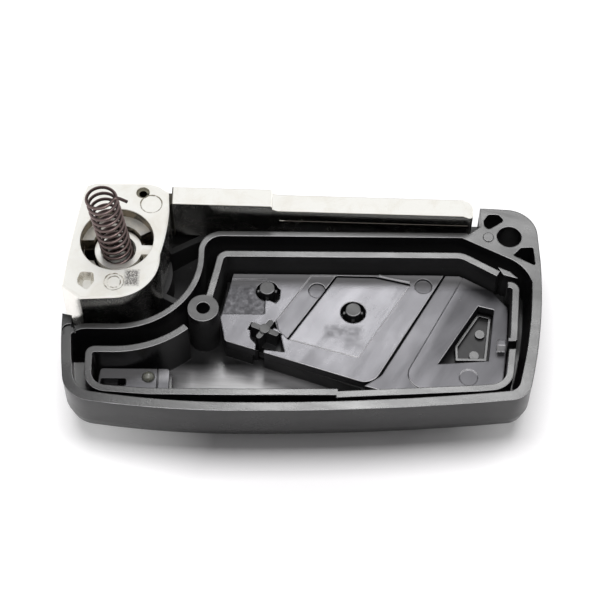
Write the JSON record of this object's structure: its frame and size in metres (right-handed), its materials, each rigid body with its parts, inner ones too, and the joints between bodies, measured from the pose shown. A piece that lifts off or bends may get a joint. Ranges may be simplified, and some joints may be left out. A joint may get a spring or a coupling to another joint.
{
  "type": "flip key remote shell",
  "caption": "Opened button-side half of a flip key remote shell with its folded key, hub, release button, loose spring and button plates.",
  "frame": {"origin": "centre of the part's bounding box, on the underside of its button face", "axes": "+X along the folded blade from hub to key ring lug, +Y towards the folded blade's side, +Z from the button face up to the open rim"},
  "size_m": [0.0762, 0.0391, 0.0295],
  "materials": {
    "shell_black": "satin moulded",
    "plate_black": "smooth moulded",
    "button_black": "smooth moulded",
    "guide_cream": "translucent moulded",
    "plated_bright": "bright plated",
    "pin_steel": "plain",
    "spring_wire": "oiled dark"
  },
  "bodies": {
    "shell": {"front_shell": "shell_black", "left_button_plate": "plate_black", "right_button_plate": "plate_black", "light_carrier": "plate_black", "light_guide": "guide_cream"},
    "key": {"key_hub": "plated_bright", "key_blade": "plated_bright", "blade_roll_pin": "pin_steel"},
    "release": {"release_barrel": "plated_bright", "release_cap": "button_black", "coil_spring": "spring_wire"},
    "lock": {"lock_button": "button_black"},
    "hatch": {"hatch_button": "button_black"},
    "unlock": {"unlock_button": "button_black"},
    "panic": {"panic_button": "button_black"}
  },
  "joints": [
    {"name": "blade_flip", "type": "hinge", "parent": "shell", "child": "key", "pos_m": [-0.02975, 0.0085, 0.007], "axis": [0, 0, 1], "range_deg": [0, 180]},
    {"name": "release_push", "type": "slide", "parent": "shell", "child": "release", "axis": [0, 0, 1], "range_m": [-0.0022, 0]},
    {"name": "lock_push", "type": "slide", "parent": "shell", "child": "lock", "axis": [0, 0, 1], "range_m": [0, 0.0006]},
    {"name": "hatch_push", "type": "slide", "parent": "shell", "child": "hatch", "axis": [0, 0, 1], "range_m": [0, 0.0006]},
    {"name": "unlock_push", "type": "slide", "parent": "shell", "child": "unlock", "axis": [0, 0, 1], "range_m": [0, 0.0006]},
    {"name": "panic_push", "type": "slide", "parent": "shell", "child": "panic", "axis": [0, 0, 1], "range_m": [0, 0.0006]}
  ]
}
